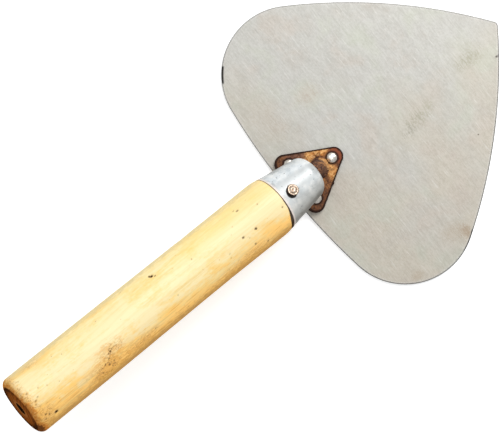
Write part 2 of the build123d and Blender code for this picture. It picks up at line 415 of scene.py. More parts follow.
def blade_steel():
    """Satin sheet steel: cross-brushed, with soft stains and scuffs, a painted highlight just inside its
    edge and painted shade on its edge.
    """
    material, tree, shader = new_material("blade_steel")
    mm = millimetres(tree)
    x, y, _ = split(mm)
    hue = cloud(mm, 0.028, 3.0, 0.5, 0.4)
    patch = cloud(mm, 0.045, 4.0, 0.55, 0.3)
    grain = cloud(mm, 1.4, 3.0, 0.7)
    scratch = cloud(mm, (1.5, 0.10, 0.10), 2.0, 0.5, 0.2)
    streak = brushed_streaks(mm)
    # Cooler towards the tip and left lobe, warmer towards the right lobe and heel.
    warmth = total(band(y, 30, -75, 0, 0.8), band(x, 30, -20, 0, 0.5), swing(hue, 0.25, 0.35))
    colour = blend(band(warmth, 0, 1), (0.447, 0.437, 0.408), (0.458, 0.422, 0.362))
    colour = blend(band(patch, 0.5, 0.68, 0, 0.55), colour, (0.470, 0.420, 0.370))
    colour = blend(band(patch, 0.5, 0.34, 0, 0.6), colour, (0.425, 0.430, 0.370))
    darker = blend(1.0, colour, (0.87, 0.865, 0.85), "MULTIPLY")
    colour = blend(band(streak, -0.8, 0.8), colour, darker)
    colour = blend(band(scratch, 0.63, 0.74, 0, 0.42), colour, (0.60, 0.59, 0.56))
    colour = blend(band(scratch, 0.36, 0.26, 0, 0.35), colour, (0.30, 0.295, 0.27))
    for mark_x, mark_y, reach_x, reach_y, tint, strength, broken in BLADE_MARKS:
        away = apart(mm, (mark_x, mark_y, 0), (reach_x, reach_y, None))
        mask = band(total(away, swing(grain, 0.35)), 1.25, 0.15, 0, strength)
        kept = band(streak, -0.3, 0.5, 1 - broken, 1)
        colour = blend(product(mask, kept), colour, tint)
    dots = cells(stretch(mm, (1, 1, 0.05)), 0.055)["Distance"]
    colour = blend(band(dots, 0.028, 0.012, 0, 0.85), colour, (0.09, 0.08, 0.06))
    # Painted highlight and painted shade along the edges, both stronger towards the right-hand side.
    for reach, tint, strength in EDGE_HIGHLIGHT_AND_SHADE:
        rounded = add("ShaderNodeBevel", {"Radius": reach * MM}, tree, samples=6).outputs["Normal"]
        edge_light_shade = band(level(rounded), 0.998, 0.93)
        edge_light_shade = product(edge_light_shade, band(y, 60, -50, 0.6, 1.0), strength)
        colour = blend(edge_light_shade, colour, tint)
    for side, centre, reach, inner in RIM_LICKS:
        middle = (LOBE_CENTRE[0], side * LOBE_CENTRE[1], LOBE_CENTRE[2])
        rim = band(vector_maths("DISTANCE", mm, middle), inner, inner + 0.9)
        dark_rim_lick = product(rim, blot(mm, centre, (reach, reach), 0.0, 0.15))
        colour = blend(dark_rim_lick, colour, (0.012, 0.011, 0.010))
    # Painted shade: faces that are not level, the blade's edge faces, are painted dark.
    flat = level(add("ShaderNodeNewGeometry", {}, tree).outputs["True Normal"])
    colour = blend(band(flat, 0.97, 0.6), colour, (0.13, 0.125, 0.12))
    rough = total(band(streak, -0.9, 0.9, 0.47, 0.57), band(patch, 0.3, 0.7, -0.03, 0.04))
    set_looks(shader, colour, rough, streak, 0.006, 0.5, metallic=0.75)
    return material


# ---------------- rusted steel
def rusted_steel(name, orange_amount, tint, dark):
    """Mild steel with a dark rust skin, orange bloom in patches and fine pitting, for others to finish."""
    material, tree, shader = new_material(name)
    mm = millimetres(tree)
    broad = cloud(mm, 0.16, 4.0, 0.6, 0.8)
    fine = cloud(mm, 1.1, 6.0, 0.7)
    speck = cloud(mm, 3.4, 3.0, 0.75)
    swirl = cloud(mm, 0.45, 4.0, 0.6, 1.2)
    colour = blend(band(fine, 0.35, 0.65), dark, tint)
    bloom = total(broad, swing(fine, 0.10))
    orange = band(bloom, 0.5, 0.66, 0, orange_amount)
    colour = blend(orange, colour, (0.50, 0.22, 0.075))
    tan = band(bloom, 0.63, 0.78, 0, orange_amount * 0.8)
    colour = blend(tan, colour, (0.66, 0.36, 0.15))
    colour = blend(band(speck, 0.56, 0.7, 0, 0.6), colour, (0.035, 0.02, 0.016))
    colour = blend(band(speck, 0.42, 0.3, 0, 0.25), colour, (0.42, 0.24, 0.13))
    return material, shader, mm, colour, fine, speck, swirl


# Ochre blooms on the plate: (centre, reach)
PLATE_BLOOMS = [((4.8, 7.8), (5.2, 2.9)), ((10.4, 5.4), (2.8, 2.0)), ((7.6, -4.6), (2.8, 6.6))]


def plate_rust():
    """Rust skin with ochre blooms in front of the weld and a redder tip, near-black rims painted as shade,
    and dirt and a painted shadow round the rivets.
    """
    material, shader, mm, colour, fine, speck, swirl = rusted_steel(
        "rusted_plate", 0.40, (0.200, 0.078, 0.030), (0.085, 0.042, 0.028)
    )
    ragged = swing(fine, 0.32)
    ochre = blend(band(swirl, 0.38, 0.62), (0.50, 0.185, 0.038), (0.86, 0.49, 0.19))
    for centre, reach in PLATE_BLOOMS:
        mask = blot(mm, centre, reach, ragged, 0.4)
        mask = product(mask, band(speck, 0.62, 0.42, 0.45, 0.95))
        colour = blend(mask, colour, ochre)
    swirled = band(swirl, 0.40, 0.60)
    # A weld burn beside the ferrule's nose, partly a painted shadow of the nose.
    burnt_and_shaded = product(blot(mm, (5.6, 1.8), (3.2, 4.2), ragged, 0.3), 0.9)
    char = blend(swirled, (0.030, 0.013, 0.010), (0.165, 0.078, 0.058))
    colour = blend(burnt_and_shaded, colour, char)
    lobe = product(blot(mm, (-2.6, 12.4), (5.6, 5.2), ragged, 0.35), 0.8)
    umber = blend(swirled, (0.060, 0.026, 0.018), (0.205, 0.098, 0.066))
    colour = blend(lobe, colour, umber)
    tip = product(blot(mm, (15.6, 0), (3.6, 5.0), ragged, 0.25), 0.8)
    colour = blend(tip, colour, (0.23, 0.058, 0.026))
    tree = material.node_tree
    # Painted shade: the rim is darkened nearly to black.
    rim = total(attribute(tree, "rim"), swing(fine, 0.15))
    colour = blend(band(rim, 0.2, 0.8, 0, 0.97), colour, (0.022, 0.010, 0.007))
    # Dirt in the pits and a painted shadow ringing the rivets' heads.
    colour = blend(attribute(tree, "dirt_and_shade"), colour, (0.022, 0.011, 0.009))
    rough = band(fine, 0.3, 0.7, 0.55, 0.85)
    set_looks(shader, colour, rough, total(fine, speck), 0.14, 0.8, specular=0.08)
    return material


def tang_rust(name, tint, orange_amount):
    """Dark forged scale, with ochre rust where it stands clear of the ferrule; the dark scale under the
    ferrule's nose is partly painted shade.
    """
    material, shader, mm, colour, fine, speck, swirl = rusted_steel(
        name, orange_amount, tint, (0.040, 0.020, 0.015)
    )
    ochre = blend(band(swirl, 0.38, 0.62), (0.40, 0.150, 0.034), (0.80, 0.44, 0.165))
    # Ochre only beyond the ferrule's nose; the dark scale behind it is partly painted shade.
    clear = band(total(split(mm)[0], swing(fine, 0.9)), 5.8, 7.6)
    bloomed = product(clear, band(speck, 0.62, 0.42, 0.3, 0.8))
    colour = blend(bloomed, colour, ochre)
    rough = band(fine, 0.3, 0.7, 0.5, 0.8)
    set_looks(shader, colour, rough, total(fine, speck), 0.08, 0.7, metallic=0.1, specular=0.12)
    return material


# ---------------- ferrule zinc and rivet steel
def galvanised():
    """Zinc-coated sheet: faint spangle, pale bloom and dark specks, with painted shade on its flanks and
    along its top.
    """
    material, tree, shader = new_material("galvanised_ferrule")
    spot = local_place(tree)
    _, left, high = split(spot)
    spangle = cells(spot, 0.38)["Color"]
    grey = add("ShaderNodeSeparateColor", {0: spangle}).outputs[0]
    bloom = cloud(spot, 0.16, 4.0, 0.6, 0.6)
    fine = cloud(spot, 1.9, 4.0, 0.65)
    patchy = cloud(spot, 0.42, 4.0, 0.6, 0.5)
    colour = blend(band(grey, 0.1, 0.9), (0.60, 0.635, 0.65), (0.66, 0.685, 0.69))
    colour = blend(band(bloom, 0.48, 0.66, 0, 0.7), colour, (0.74, 0.74, 0.72))
    colour = blend(band(bloom, 0.46, 0.3, 0, 0.6), colour, (0.46, 0.51, 0.53))
    colour = blend(band(patchy, 0.46, 0.34, 0, 0.5), colour, (0.47, 0.52, 0.55))
    colour = blend(band(patchy, 0.54, 0.66, 0, 0.45), colour, (0.80, 0.80, 0.785))
    # Painted shade: both flanks are painted darker where they turn from the light, the right-hand one most
    # of all, and a strip along the top is painted greyer to dim the lamp's highlight; the right-hand flank
    # is also tinted warmer.
    ray = add("ShaderNodeCombineXYZ", {1: left, 2: high}).outputs[0]
    ray = vector_maths("NORMALIZE", ray)
    light_facing = vector_maths("DOT_PRODUCT", ray, (0.0, 0.30, 0.954))
    light_facing = total(light_facing, swing(bloom, 0.08, 0.35))
    crown_glare = vector_maths("DOT_PRODUCT", ray, (0.0, 0.15, 0.989))
    colour = blend(band(left, 2, -12, 0, 0.6), colour, (0.62, 0.59, 0.53))
    colour = blend(band(light_facing, 0.85, 0.45, 0, 0.6), colour, (0.31, 0.315, 0.30))
    colour = blend(band(crown_glare, 0.90, 0.99, 0, 0.85), colour, (0.41, 0.425, 0.425))
    colour = blend(band(light_facing, 0.55, 0.1, 0, 0.7), colour, (0.155, 0.145, 0.125))
    for scale, low, high, strength in ((0.34, 0.15, 0.04, 0.85), (0.7, 0.16, 0.05, 0.6)):
        dots = total(cells(spot, scale)["Distance"], swing(fine, 0.12))
        pit = product(band(dots, low, high), band(bloom, 0.58, 0.48), strength)
        colour = blend(pit, colour, (0.13, 0.135, 0.135))
    colour = blend(attribute(tree, "grime"), colour, (0.10, 0.085, 0.07))
    colour = blend(attribute(tree, "rim"), colour, (0.85, 0.73, 0.65))
    # Painted shadow: a near-black crescent on the ferrule under the raised rear edge of the cross rivet's
    # head.
    pin_shadow = vector_maths("DISTANCE", spot, (PIN + 0.9, -1.0, PIN_SEAT))
    pin_shadow = band(total(pin_shadow, swing(fine, 0.1)), 3.35, 3.0, 0, 0.97)
    colour = blend(pin_shadow, colour, (0.012, 0.007, 0.005))
    rough = band(bloom, 0.35, 0.65, 0.44, 0.58)
    set_looks(shader, colour, rough, total(fine, product(grey, 0.35)), 0.035, 0.5, metallic=0.5)
    return material


def bright_steel(name, base, shade, ring_colour, gloss):
    """A rivet's worn head, with dirt in its low spots and painted shade round its foot."""
    material, tree, shader = new_material(name)
    fine = cloud(millimetres(tree), 1.6, 4.0, 0.65)
    colour = blend(band(fine, 0.4, 0.68), base, shade)
    ragged = band(total(attribute(tree, "dirt_and_shade"), swing(fine, 0.2)), 0.25, 0.85)
    colour = blend(ragged, colour, ring_colour)
    set_looks(shader, colour, band(ragged, 0, 1, gloss, 0.7), fine, 0.05, 0.5, metallic=0.9)
    return material


# ---------------- wood
# Rough tan patches where the grip was knocked and split: (along, left, up, length, width, strength)
KNOCKS = [
    (143, -5.5, 14.5, 9, 5, 0.75),
    (148, -11, 11, 13, 6, 1.0),
    (184, -9, 12, 5, 7, 0.6),
    (128, -11.5, 10.5, 14, 4, 0.6),
    (60, -12, 9, 22, 4, 0.4),
    (90, 4, -15, 14, 6, 0.5),
    (165, 6, -14, 12, 8, 0.6),
    (50, -3, -15, 12, 7, 0.4),
    (176, 13, 8, 9, 4, 0.35),
]


def wood_ground(tree):
    """What the wood's colours are mixed from: where a point lies, and noise at every scale."""
    spot = local_place(tree)
    along, left, high = split(spot)
    torn = cloud(spot, (0.30, 0.42, 0.42), 5.0, 0.7, 0.6)
    # Growth bands lie round a pith well outside the handle, so they show as long, nearly straight stripes.
    pith = vector_maths("ADD", spot, (0, 34, -26))
    away = vector_maths("LENGTH", stretch(pith, (0.02, 1, 1)))
    bend = cloud(spot, (0.012, 0.06, 0.06), 3.0, 0.5)
    phase = total(product(away, 1.9), product(bend, 16.0))
    return SimpleNamespace(
        spot=spot,
        along=along,
        left=left,
        high=high,
        phase=phase,
        rings=band(maths("SINE", phase), 0.1, 1.0),
        fibres=cloud(spot, (0.06, 1.5, 1.5), 5.0, 0.68),
        strands=cloud(spot, (0.022, 0.30, 0.30), 4.0, 0.6, 0.3),
        blotch=cloud(spot, (0.045, 0.11, 0.11), 5.0, 0.62, 0.5),
        mottle=cloud(spot, (0.35, 0.8, 0.8), 4.0, 0.65),
        drawn=cloud(spot, (0.014, 0.75, 0.75), 3.0, 0.55, 0.1),
        crease=maths("ABSOLUTE", maths("SUBTRACT", torn, 0.5)),
        pit=attribute(tree, "pit"),
        end=attribute(tree, "end"),
    )


def lit_top(wood):
    """The upper side, facing up and to the left, is painted pale as a broad highlight; the rest keeps its
    golden skin.
    """
    gold = blend(band(wood.blotch, 0.4, 0.62), (0.75, 0.575, 0.225), (0.75, 0.52, 0.17))
    # Painted highlight: paler where the grip faces up and to the left, broken up by noise.
    painted_light_shade = total(
        vector_maths("DOT_PRODUCT", wood.spot, (0, 0.0132, 0.0623)),
        band(wood.blotch, 0.3, 0.7, 0.16, -0.18),
        swing(wood.strands, -0.07),
        swing(wood.mottle, -0.08),
    )
    colour = blend(band(painted_light_shade, 0.55, 1.05), gold, (0.765, 0.645, 0.37))
    lemon = band(wood.along, 100, 55, 0.15, 0.8)
    lemon = product(band(wood.left, 2, 10), lemon, band(wood.blotch, 0.3, 0.6, 0.6, 1.0))
    colour = blend(lemon, colour, (0.73, 0.55, 0.175))
    colour = blend(band(wood.along, 80, 40, 0, 0.3), colour, (0.74, 0.56, 0.30))
    colour = blend(product(wood.rings, 0.13), colour, (0.72, 0.45, 0.17))
    colour = blend(band(wood.fibres, 0.54, 0.75, 0, 0.30), colour, (0.62, 0.38, 0.14))
    return blend(band(wood.fibres, 0.45, 0.3, 0, 0.3), colour, (0.82, 0.71, 0.41))


def figured_and_shaded_sides(wood, colour):
    """The underside keeps more of its figure; the right-hand flank turns deeper orange towards the butt,
    partly as painted shade, and both edges are painted darker as shade.
    """
    under = band(wood.high, 2, -8)
    figured = product(under, band(wood.strands, 0.44, 0.62, 0, 0.5))
    colour = blend(figured, colour, (0.66, 0.43, 0.16))
    figured = product(under, band(wood.fibres, 0.49, 0.64, 0, 0.5))
    colour = blend(figured, colour, (0.52, 0.32, 0.115))
    # Partly painted shade: the right-hand flank turns deeper orange, more so towards the butt.
    flank = total(
        band(wood.left, -1, -15),
        band(wood.blotch, 0.35, 0.65, -0.17, 0.14),
        band(wood.along, 70, 170, -0.03, 0.2),
        swing(wood.mottle, 0.15),
        swing(wood.strands, 0.15),
    )
    colour = blend(band(flank, 0.15, 1.2, 0, 0.85), colour, (0.93, 0.53, 0.135))
    drawn = product(band(wood.drawn, 0.57, 0.68), band(flank, 0.0, 0.5, 0.2, 0.4))
    colour = blend(drawn, colour, (0.54, 0.42, 0.17))
    lined = product(band(flank, 0.2, 0.9), band(wood.fibres, 0.50, 0.64), 0.6)
    colour = blend(lined, colour, (0.55, 0.26, 0.05))
    # Painted shade: both edges are darkened, the right-hand one more.
    edge_shade = total(wood.left, swing(wood.mottle, 1.0))
    colour = blend(band(edge_shade, -11.6, -15.4, 0, 0.8), colour, (0.46, 0.245, 0.080))
    return blend(band(edge_shade, 12.4, 15.4, 0, 0.75), colour, (0.52, 0.42, 0.205))


def knocked(wood, colour):
    """Tan patches with short dark cracks, scattered flecks, the pits' dark floors and painted shade in the
    hanging hole's mouth.
    """
    cracks = product(band(wood.crease, 0.036, 0.012), band(wood.mottle, 0.40, 0.48))
    for along, left, high, long, wide, strength in KNOCKS:
        away = apart(wood.spot, (along, left, high), (long, wide, wide))
        away = total(away, swing(wood.mottle, 0.5))
        mask = product(band(away, 1.2, 0.2, 0, strength), 0.75)
        colour = blend(mask, colour, (0.71, 0.36, 0.075))
        cracked = product(band(away, 1.0, 0.3, 0, strength), cracks)
        colour = blend(cracked, colour, (0.21, 0.085, 0.02))
    speck = cells(stretch(wood.spot, (0.7, 1, 1)), 0.22)["Distance"]
    colour = blend(band(speck, 0.08, 0.03, 0, 0.4), colour, (0.40, 0.25, 0.09))
    return blend(wood.pit, colour, (0.060, 0.030, 0.012))


def butt_edge_and_gap(wood, butt_edge, colour):
    """The butt's edge in orange, brown and near-black bands that reach further on the right, partly painted
    shade, and a painted shade line at the ferrule's rim, widest on the right.
    """
    # Bands towards the butt's edge; the dark outer ones are partly painted shade.
    for start, stop, strength, tint in (
        (-7.0, -2.0, 0.7, (0.74, 0.40, 0.10)),
        (-2.9, -0.9, 0.95, (0.58, 0.215, 0.040)),
        (-0.6, 0.4, 0.9, (0.10, 0.030, 0.010)),
    ):
        edge_band = band(butt_edge, GRIP_END + start, GRIP_END + stop, 0, strength)
        colour = blend(edge_band, colour, tint)
    chipped = band(butt_edge, GRIP_END - 7.5, GRIP_END - 3.5)
    chipped = product(band(wood.crease, 0.020, 0.006), chipped, 0.7)
    colour = blend(chipped, colour, (0.20, 0.075, 0.02))
    # Painted shade: a dark line, then a near-black one, where the wood meets the ferrule's rim, widest on
    # the right.
    gap = total(wood.along, band(wood.left, -5, -13, 0, -1.5), band(wood.left, -4, 3, 0, 0.35))
    painted_light_shade = band(gap, SHOULDER + 0.5, SHOULDER + 0.2, 0, 0.8)
    colour = blend(painted_light_shade, colour, (0.09, 0.035, 0.020))
    shadowed = band(gap, SHOULDER + 0.4, SHOULDER - 0.1, 0, 0.9)
    return blend(shadowed, colour, (0.015, 0.006, 0.004))


def end_grain(wood):
    """The butt's sawn face: rings, dirt and painted shade round its edge, darkest at the bottom, and a
    hanging hole painted dark as shade.
    """
    fine = cloud(wood.spot, (0.2, 1.6, 1.6), 4.0, 0.7)
    ring = band(maths("SINE", product(wood.phase, 1.4)), -0.6, 0.9)
    colour = blend(ring, (0.235, 0.062, 0.009), (0.115, 0.030, 0.005))
    colour = blend(band(fine, 0.4, 0.65, 0, 0.6), colour, (0.34, 0.105, 0.018))
    out = vector_maths("LENGTH", stretch(wood.spot, (0, 1, 1)))
    ragged = total(out, swing(wood.mottle, 1.0))
    # Dirt and painted shade round the edge, strongest at the bottom.
    grime_and_shade = product(band(ragged, 8.0, 12.0, 0, 0.95), band(wood.high, 11, 3, 0.25, 1.0))
    colour = blend(grime_and_shade, colour, (0.018, 0.007, 0.004))
    colour = blend(band(ragged, 6.2, 4.2, 0, 0.6), colour, (0.36, 0.140, 0.040))
    # Painted shade: the hanging hole's mouth is near-black.
    return blend(band(out, 3.7, 3.2, 0, 0.95), colour, (0.010, 0.004, 0.002))


def handle_wood():
    """Pale turned wood: a painted highlight on top, golden flanks partly painted as shade, faint grain,
    knocks and dark end grain.
    """
    material, tree, shader = new_material("handle_wood")
    wood = wood_ground(tree)
    # How near the butt's edge a point lies, reaching further on the right, where the butt's dark bands are
    # partly painted shade.
    butt_edge = total(
        wood.along,
        swing(wood.mottle, 0.9),
        band(wood.blotch, 0.35, 0.65, -0.7, 0.5),
        band(wood.left, 4, -6, -1.0, -0.2),
        band(wood.left, -10.0, -15.0, 0, 2.4),
    )
    colour = knocked(wood, figured_and_shaded_sides(wood, lit_top(wood)))
    colour = blend(wood.end, butt_edge_and_gap(wood, butt_edge, colour), end_grain(wood))
    dull = maths("MAXIMUM", wood.end, wood.pit)
    for worn in (band(butt_edge, GRIP_END - 4.5, GRIP_END - 2.0), band(wood.left, -10.0, -14.0)):
        dull = maths("MAXIMUM", dull, worn)
    rough = total(band(wood.fibres, 0.3, 0.7, 0.42, 0.56), product(wood.end, 0.3))
    relief = total(wood.fibres, product(wood.rings, 0.3))
    set_looks(shader, colour, rough, relief, 0.05, 0.6, specular=band(dull, 0, 1, 0.28, 0.0))
    return material


# ---------------- blade
coat(nodes["blade"], blade_steel())

# ---------------- tang plate
# A burr on the right-hand edge, and smaller ones behind it: (x, y, reach, height)
BURRS = [(4.6, -11.0, 0.55, 0.55), (6.8, -9.9, 0.4, 0.25), (-3.0, -15.4, 0.6, 0.2)]

plate_mesh = remeshed("tang_plate", 0.26)
spots, outward = mesh_arrays(plate_mesh)
pitting = np.minimum(fractal(spots, 0.9, 23, 3) + 0.35, 0)
shift = 0.07 * fractal(spots, 3.5, 11, 4) + 0.16 * pitting
for x, y, reach, height in BURRS:
    away = np.hypot(spots[:, 0] - x, spots[:, 1] - y)
    shift += height * np.exp(-((away / reach) ** 2)) * (1 - np.clip(outward[:, 2], 0, 1))
moved = spots + outward * shift[:, None]
moved[:, 2] = np.clip(moved[:, 2], BLADE_TOP, None)
plate_mesh.vertices.foreach_set("co", (moved * MM).ravel())

# Dirt lies in the pits, a painted shadow rings the rivets' heads, and painted shade darkens the rim most,
# widest towards the rear.
rivet_names = sorted(name for name in nodes if name.startswith("blade_rivet"))
heads = [sum(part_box(name), Vector()) / 2 / MM for name in rivet_names]
# Painted shadow: a dark ring round each rivet's head.
near = np.min([np.hypot(moved[:, 0] - head.x, moved[:, 1] - head.y) for head in heads], axis=0)
dirt_and_shade = smoothstep(4.1, 3.2, near) * 0.9 + 0.5 * smoothstep(0.0, -0.35, pitting)
paint(plate_mesh, "dirt_and_shade", np.clip(dirt_and_shade, 0, 0.9))
# Painted shade: a dark band inside the rim, widest towards the rear.
turned_over = np.flatnonzero(outward[:, 2] < 0.75)
outline = KDTree(len(turned_over))
for k in turned_over:
    outline.insert(spots[k], int(k))
outline.balance()
inset = np.array([outline.find(point)[2] for point in spots])
rim_width = 1.25 + 1.1 * smoothstep(-4, -14, spots[:, 0])
paint(plate_mesh, "rim", smoothstep(rim_width, 0.2, inset))
place(finish_mesh("plate_skin", plate_mesh, 180), "tang_plate", plate_rust())

# ---------------- blade rivets
RIVET_SHANK = 1.6
RIVET_TAIL = 2.5  # the beaten tail's radius
DOME_START = PLATE_TOP + 0.35


def rivet_profile(head, top):
    """A blade rivet in (height, radius): tail, shank and a domed head of radius head, up to top."""
    dome = [
        (DOME_START + (top - DOME_START) * math.sin(t), (head - 0.02) * math.cos(t))
        for t in np.linspace(0.14, 1.46, 14)
    ]
    return (
        line((0.0, 0.25), (0.0, RIVET_TAIL - 0.1), 0.4)
        + [(0.02, RIVET_TAIL - 0.02), (0.14, RIVET_TAIL - 0.12)]
        + line((0.9, RIVET_SHANK), (PLATE_TOP - 0.3, RIVET_SHANK), 0.8)
        + [(PLATE_TOP - 0.3, RIVET_SHANK), (PLATE_TOP - 0.25, head - 0.5), (PLATE_TOP - 0.1, head)]
        + [(DOME_START, head - 0.02)]
        + dome
    )


rivet_metal = bright_steel(
    "rivet_steel", (0.79, 0.745, 0.67), (0.56, 0.51, 0.44), (0.09, 0.05, 0.035), 0.30
)
for number, name in enumerate(rivet_names):
    low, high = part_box(name)
    middle = (low + high) / 2
    head = (high.x - low.x) / 2 / MM
    grid, normals = turned(rivet_profile(head, high.z / MM), 56, closed=False)
    beaten = grid + [0, 9 * number, 0]  # each rivet takes its own part of the noise
    on_head = smoothstep(PLATE_TOP - 0.2, PLATE_TOP + 0.3, grid[..., 0])
    lump = 0.07 * fractal(beaten, 1.7, 41 + number, 3)
    grid = grid + normals * (lump * on_head)[..., None]
    tail_face = smoothstep(0.3, 0.0, grid[..., 0]) * smoothstep(RIVET_TAIL, RIVET_TAIL - 0.5, off_axis(grid))
    grid[..., 0] += tail_face * (0.05 + 0.05 * fractal(beaten, 1.1, 61 + number, 2))
    tilt = grid[..., 1] * math.cos(2 * number) + grid[..., 2] * math.sin(2 * number)
    grid[..., 0] -= 0.10 * on_head * tilt / head
    up = grid[..., 0]
    # Painted shade round the head's foot, where it meets the plate; dirt rims the beaten tail.
    foot = smoothstep(PLATE_TOP + 0.55, PLATE_TOP + 0.15, up) * smoothstep(0.6, 1.2, up)
    tail_rim = smoothstep(RIVET_TAIL - 0.55, RIVET_TAIL - 0.1, off_axis(grid)) * (up < 0.6) * 0.9
    upright = Matrix.Translation((middle.x, middle.y, 0)) @ UPRIGHT
    rivet = skin(f"{name}_worn", grid, upright, False, {"dirt_and_shade": np.maximum(foot, tail_rim)})
    place(rivet, name, rivet_metal)

# ---------------- tang
# An upright foot, a bend, then straight down the handle's axis; the path is in (x, height).
pitch = math.asin(BACK.z)
foot_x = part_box("tang")[1].x / MM - TANG_RADIUS
bend_x = foot_x - TANG_BEND
bend_z = NOSE.z / MM - TANG_BEND * math.cos(pitch)
path = [(foot_x, z) for z in np.arange(PLATE_TOP - 0.02, bend_z, 0.4)]
path += [
    (bend_x + TANG_BEND * math.cos(a), bend_z + TANG_BEND * math.sin(a))
    for a in np.linspace(0, math.pi / 2 - pitch, 24)
]
straight = np.concatenate(
    [np.arange(0.4, 8, 0.4), np.arange(8, TANG_END - 0.8, 3.0), [TANG_END - 0.7, TANG_END]]
)
path += [((NOSE.x + BACK.x * s * MM) / MM, (NOSE.z + BACK.z * s * MM) / MM) for s in straight]
path = np.array(path)
heading = np.gradient(path, axis=0)
heading /= np.linalg.norm(heading, axis=1, keepdims=True)
travelled = np.concatenate([[0], np.cumsum(np.linalg.norm(np.diff(path, axis=0), axis=1))])
taper = np.interp(travelled, [travelled[-1] - TANG_TAPER, travelled[-1]], [TANG_RADIUS, TANG_TIP])
taper[-1] = 2.2  # the tip's edge is broken
around = np.linspace(0, 2 * math.pi, 48, endpoint=False)
tang_points = np.stack(
    [
        path[:, :1] - heading[:, 1:] * taper[:, None] * np.sin(around),
        taper[:, None] * np.cos(around),
        path[:, 1:] + heading[:, :1] * taper[:, None] * np.sin(around),
    ],
    -1,
)
centres = np.stack([path[:, 0], np.zeros(len(path)), path[:, 1]], -1)[:, None]
spokes = (tang_points - centres) / taper[:, None, None]
tang_points = tang_points + spokes * (0.09 * fractal(tang_points, 2.6, 57, 4) - 0.06)[..., None]
piece = skin("tang_forged", tang_points, Matrix.Identity(4), False)
place(piece, "tang", tang_rust("forged_tang", (0.125, 0.060, 0.038), 0.35))

# ---------------- weld bead
# Overlapping ripples laid round the tang's foot.
turn = np.linspace(0, 2 * math.pi, 180, endpoint=False)
weld_low, weld_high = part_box("tang_weld")
weld_leg = (weld_high.x - weld_low.x) / 2 / MM - TANG_RADIUS
leg = weld_leg - 0.15 + 0.14 * np.sin(3 * turn + 0.6) + 0.10 * np.sin(7 * turn)
height = weld_leg + 0.25 * np.sin(2 * turn + 1.1) + 0.12 * np.sin(5 * turn)


def weld_ring(up, out):
    """One ring of the bead, at a height and a radius that may differ all the way round."""
    return np.stack([np.broadcast_to(up, turn.shape), out * np.cos(turn), out * np.sin(turn)], -1)


rows = []
for t in np.linspace(0, 1, 13):
    out = TANG_RADIUS - 0.1 + leg * (math.sin(t * math.pi / 2) ** 1.25)
    up = height * (math.cos(t * math.pi / 2) ** 1.1) + 0.03
    ripple = 0.15 * np.abs(np.sin(11 * turn + 1.3 * (t - 0.5) ** 2 * 6)) * math.sin(math.pi * t)
    rows.append(weld_ring(PLATE_TOP - 0.03 + up + 0.7 * ripple, out + 0.7 * ripple))
rows.append(weld_ring(PLATE_TOP - 0.05, TANG_RADIUS - 0.3))
bead = np.array(rows)
bead[1:-1] += (0.07 * fractal(bead[1:-1], 1.2, 71, 3))[..., None] * (bead[1:-1] - [PLATE_TOP, 0, 0]) / 5
piece = skin("weld_bead", bead, Matrix.Translation((foot_x * MM, 0, 0)) @ UPRIGHT, True)
place(piece, "tang_weld", tang_rust("weld_scale", (0.110, 0.052, 0.036), 0.3))

# ---------------- ferrule
# Dents: (along, degrees round it, reach, depth)
DENTS = [
    (9, 62, 2.2, 0.16),
    (15, 40, 3.0, 0.14),
    (7, 128, 2.6, 0.12),
    (22, 28, 3.4, 0.16),
    (13, -60, 3.5, 0.2),
    (20, 200, 3.0, 0.15),
]
DENT_RADIUS = 12.6  # about the ferrule's own, half way along


def nose_profile(inset):
    """The ferrule's outer line from tang hole to rear rim, moved inwards by inset."""
    nose_radius = FERRULE_REAR - FERRULE_LENGTH * CONE
    centre = (FERRULE_ROUND, nose_radius - FERRULE_ROUND * math.tan((math.pi / 2 - FLANK) / 2))
    bend = arc(centre, FERRULE_ROUND - inset, 180, 90 + math.degrees(FLANK), 26)
    rear = (FERRULE_LENGTH, FERRULE_REAR - inset / math.cos(FLANK))
    return line((inset, FERRULE_HOLE), bend[0], 0.35) + bend + line(bend[-1], rear, 0.45)[1:] + [rear]


outer = nose_profile(0.0)
rim_points = [
    (FERRULE_LENGTH + 0.12, FERRULE_REAR - 0.12),
    (FERRULE_LENGTH + 0.16, FERRULE_REAR - FERRULE_WALL / 2),
    (FERRULE_LENGTH + 0.08, FERRULE_REAR - FERRULE_WALL + 0.1),
]
grid, normals = turned(outer + rim_points + nose_profile(FERRULE_WALL)[::-1], 200)
count = len(outer)
outside = np.zeros((len(grid), 1))
outside[:count] = 1
dents = 0.06 * fractal(grid, 7.0, 83, 3) + 0.018 * fractal(grid, 1.6, 89, 2)
for along, degrees, reach, depth in DENTS:
    target = np.array([along, *spoke(DENT_RADIUS, degrees)])
    dents -= depth * np.exp(-((np.linalg.norm(grid - target, axis=-1) / reach) ** 2))
flare = 0.14 * smoothstep(FERRULE_LENGTH - 1.1, FERRULE_LENGTH, grid[..., 0]) * outside
near_hole = smoothstep(4.4, 5.6, off_axis(grid))
grid = grid + normals * (dents * near_hole * outside + flare)[..., None]

# Grime lies round the tang hole and in patches towards the rear; the inside is darker and the rim is paler.
along = grid[..., 0]
hole_grime = smoothstep(6.0, 4.2, off_axis(grid)) * 0.85
rear_grime = 0.35 * smoothstep(0.1, 0.7, fractal(grid, 4.0, 97, 3)) * smoothstep(16, 26, along)
inside = np.broadcast_to((1 - outside) * 0.8, along.shape).copy()
inside[count : count + 3] = 0.0
grime = np.clip(np.maximum(np.maximum(hole_grime, rear_grime), inside), 0, 0.9)
rim_mask = np.zeros(along.shape)
rim_mask[:count] = 0.5 * smoothstep(25.7, 26.5, along[:count])
rim_mask[count - 1 : count + 3] = 0.75
piece = skin("ferrule_drawn", grid, HANDLE_FRAME, True, {"grime": grime, "rim": rim_mask})
place(piece, "ferrule", galvanised())

